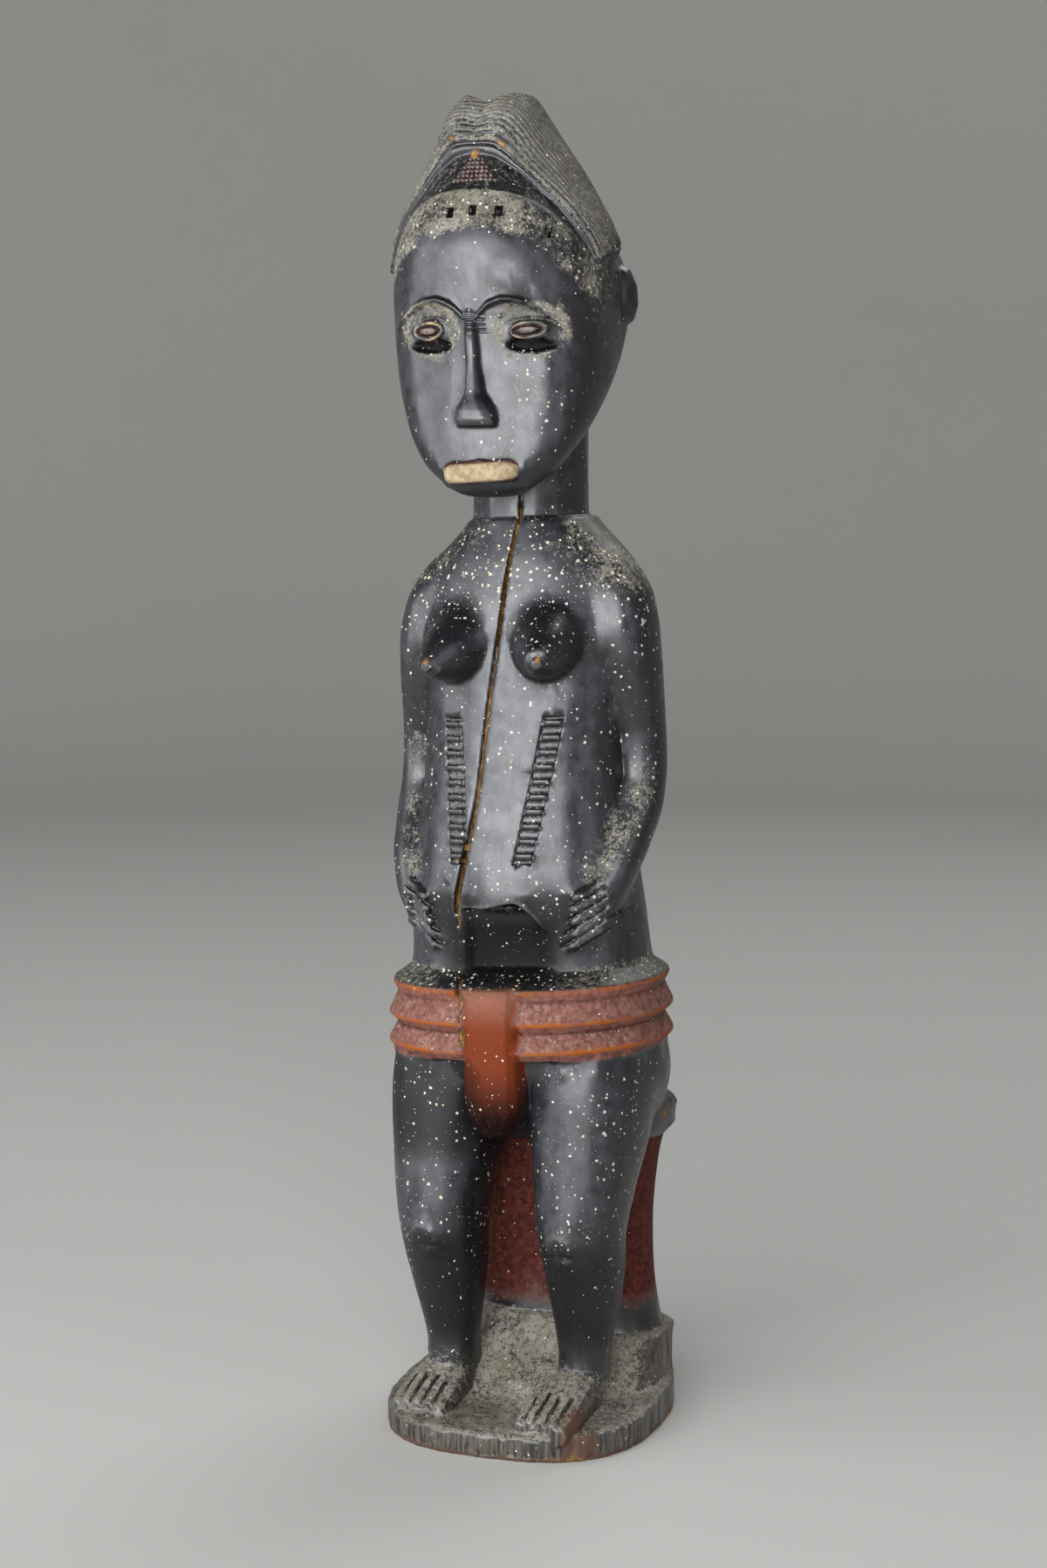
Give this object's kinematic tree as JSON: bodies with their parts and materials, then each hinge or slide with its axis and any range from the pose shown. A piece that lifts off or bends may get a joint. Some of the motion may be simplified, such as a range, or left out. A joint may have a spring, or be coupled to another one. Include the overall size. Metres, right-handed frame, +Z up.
{
  "type": "carved wooden figure",
  "caption": "Seated woman on a waisted stool and oval base, carved from one block of blackened wood, with ridged hair, a rolled loincloth and hands on the belly; stands on a shelf or plinth.",
  "frame": {"origin": "middle of the base's underside", "axes": "+Z up through the figure, -Y the way she looks, +X to her left"},
  "size_m": [0.108, 0.112, 0.4998],
  "materials": {
    "blackened_wood": "blackened and polished by handling, with red-brown paint on the cloth and stool, and dust in the hollows"
  },
  "bodies": {
    "root": {"carved_figure": "blackened_wood"}
  },
  "joints": []
}
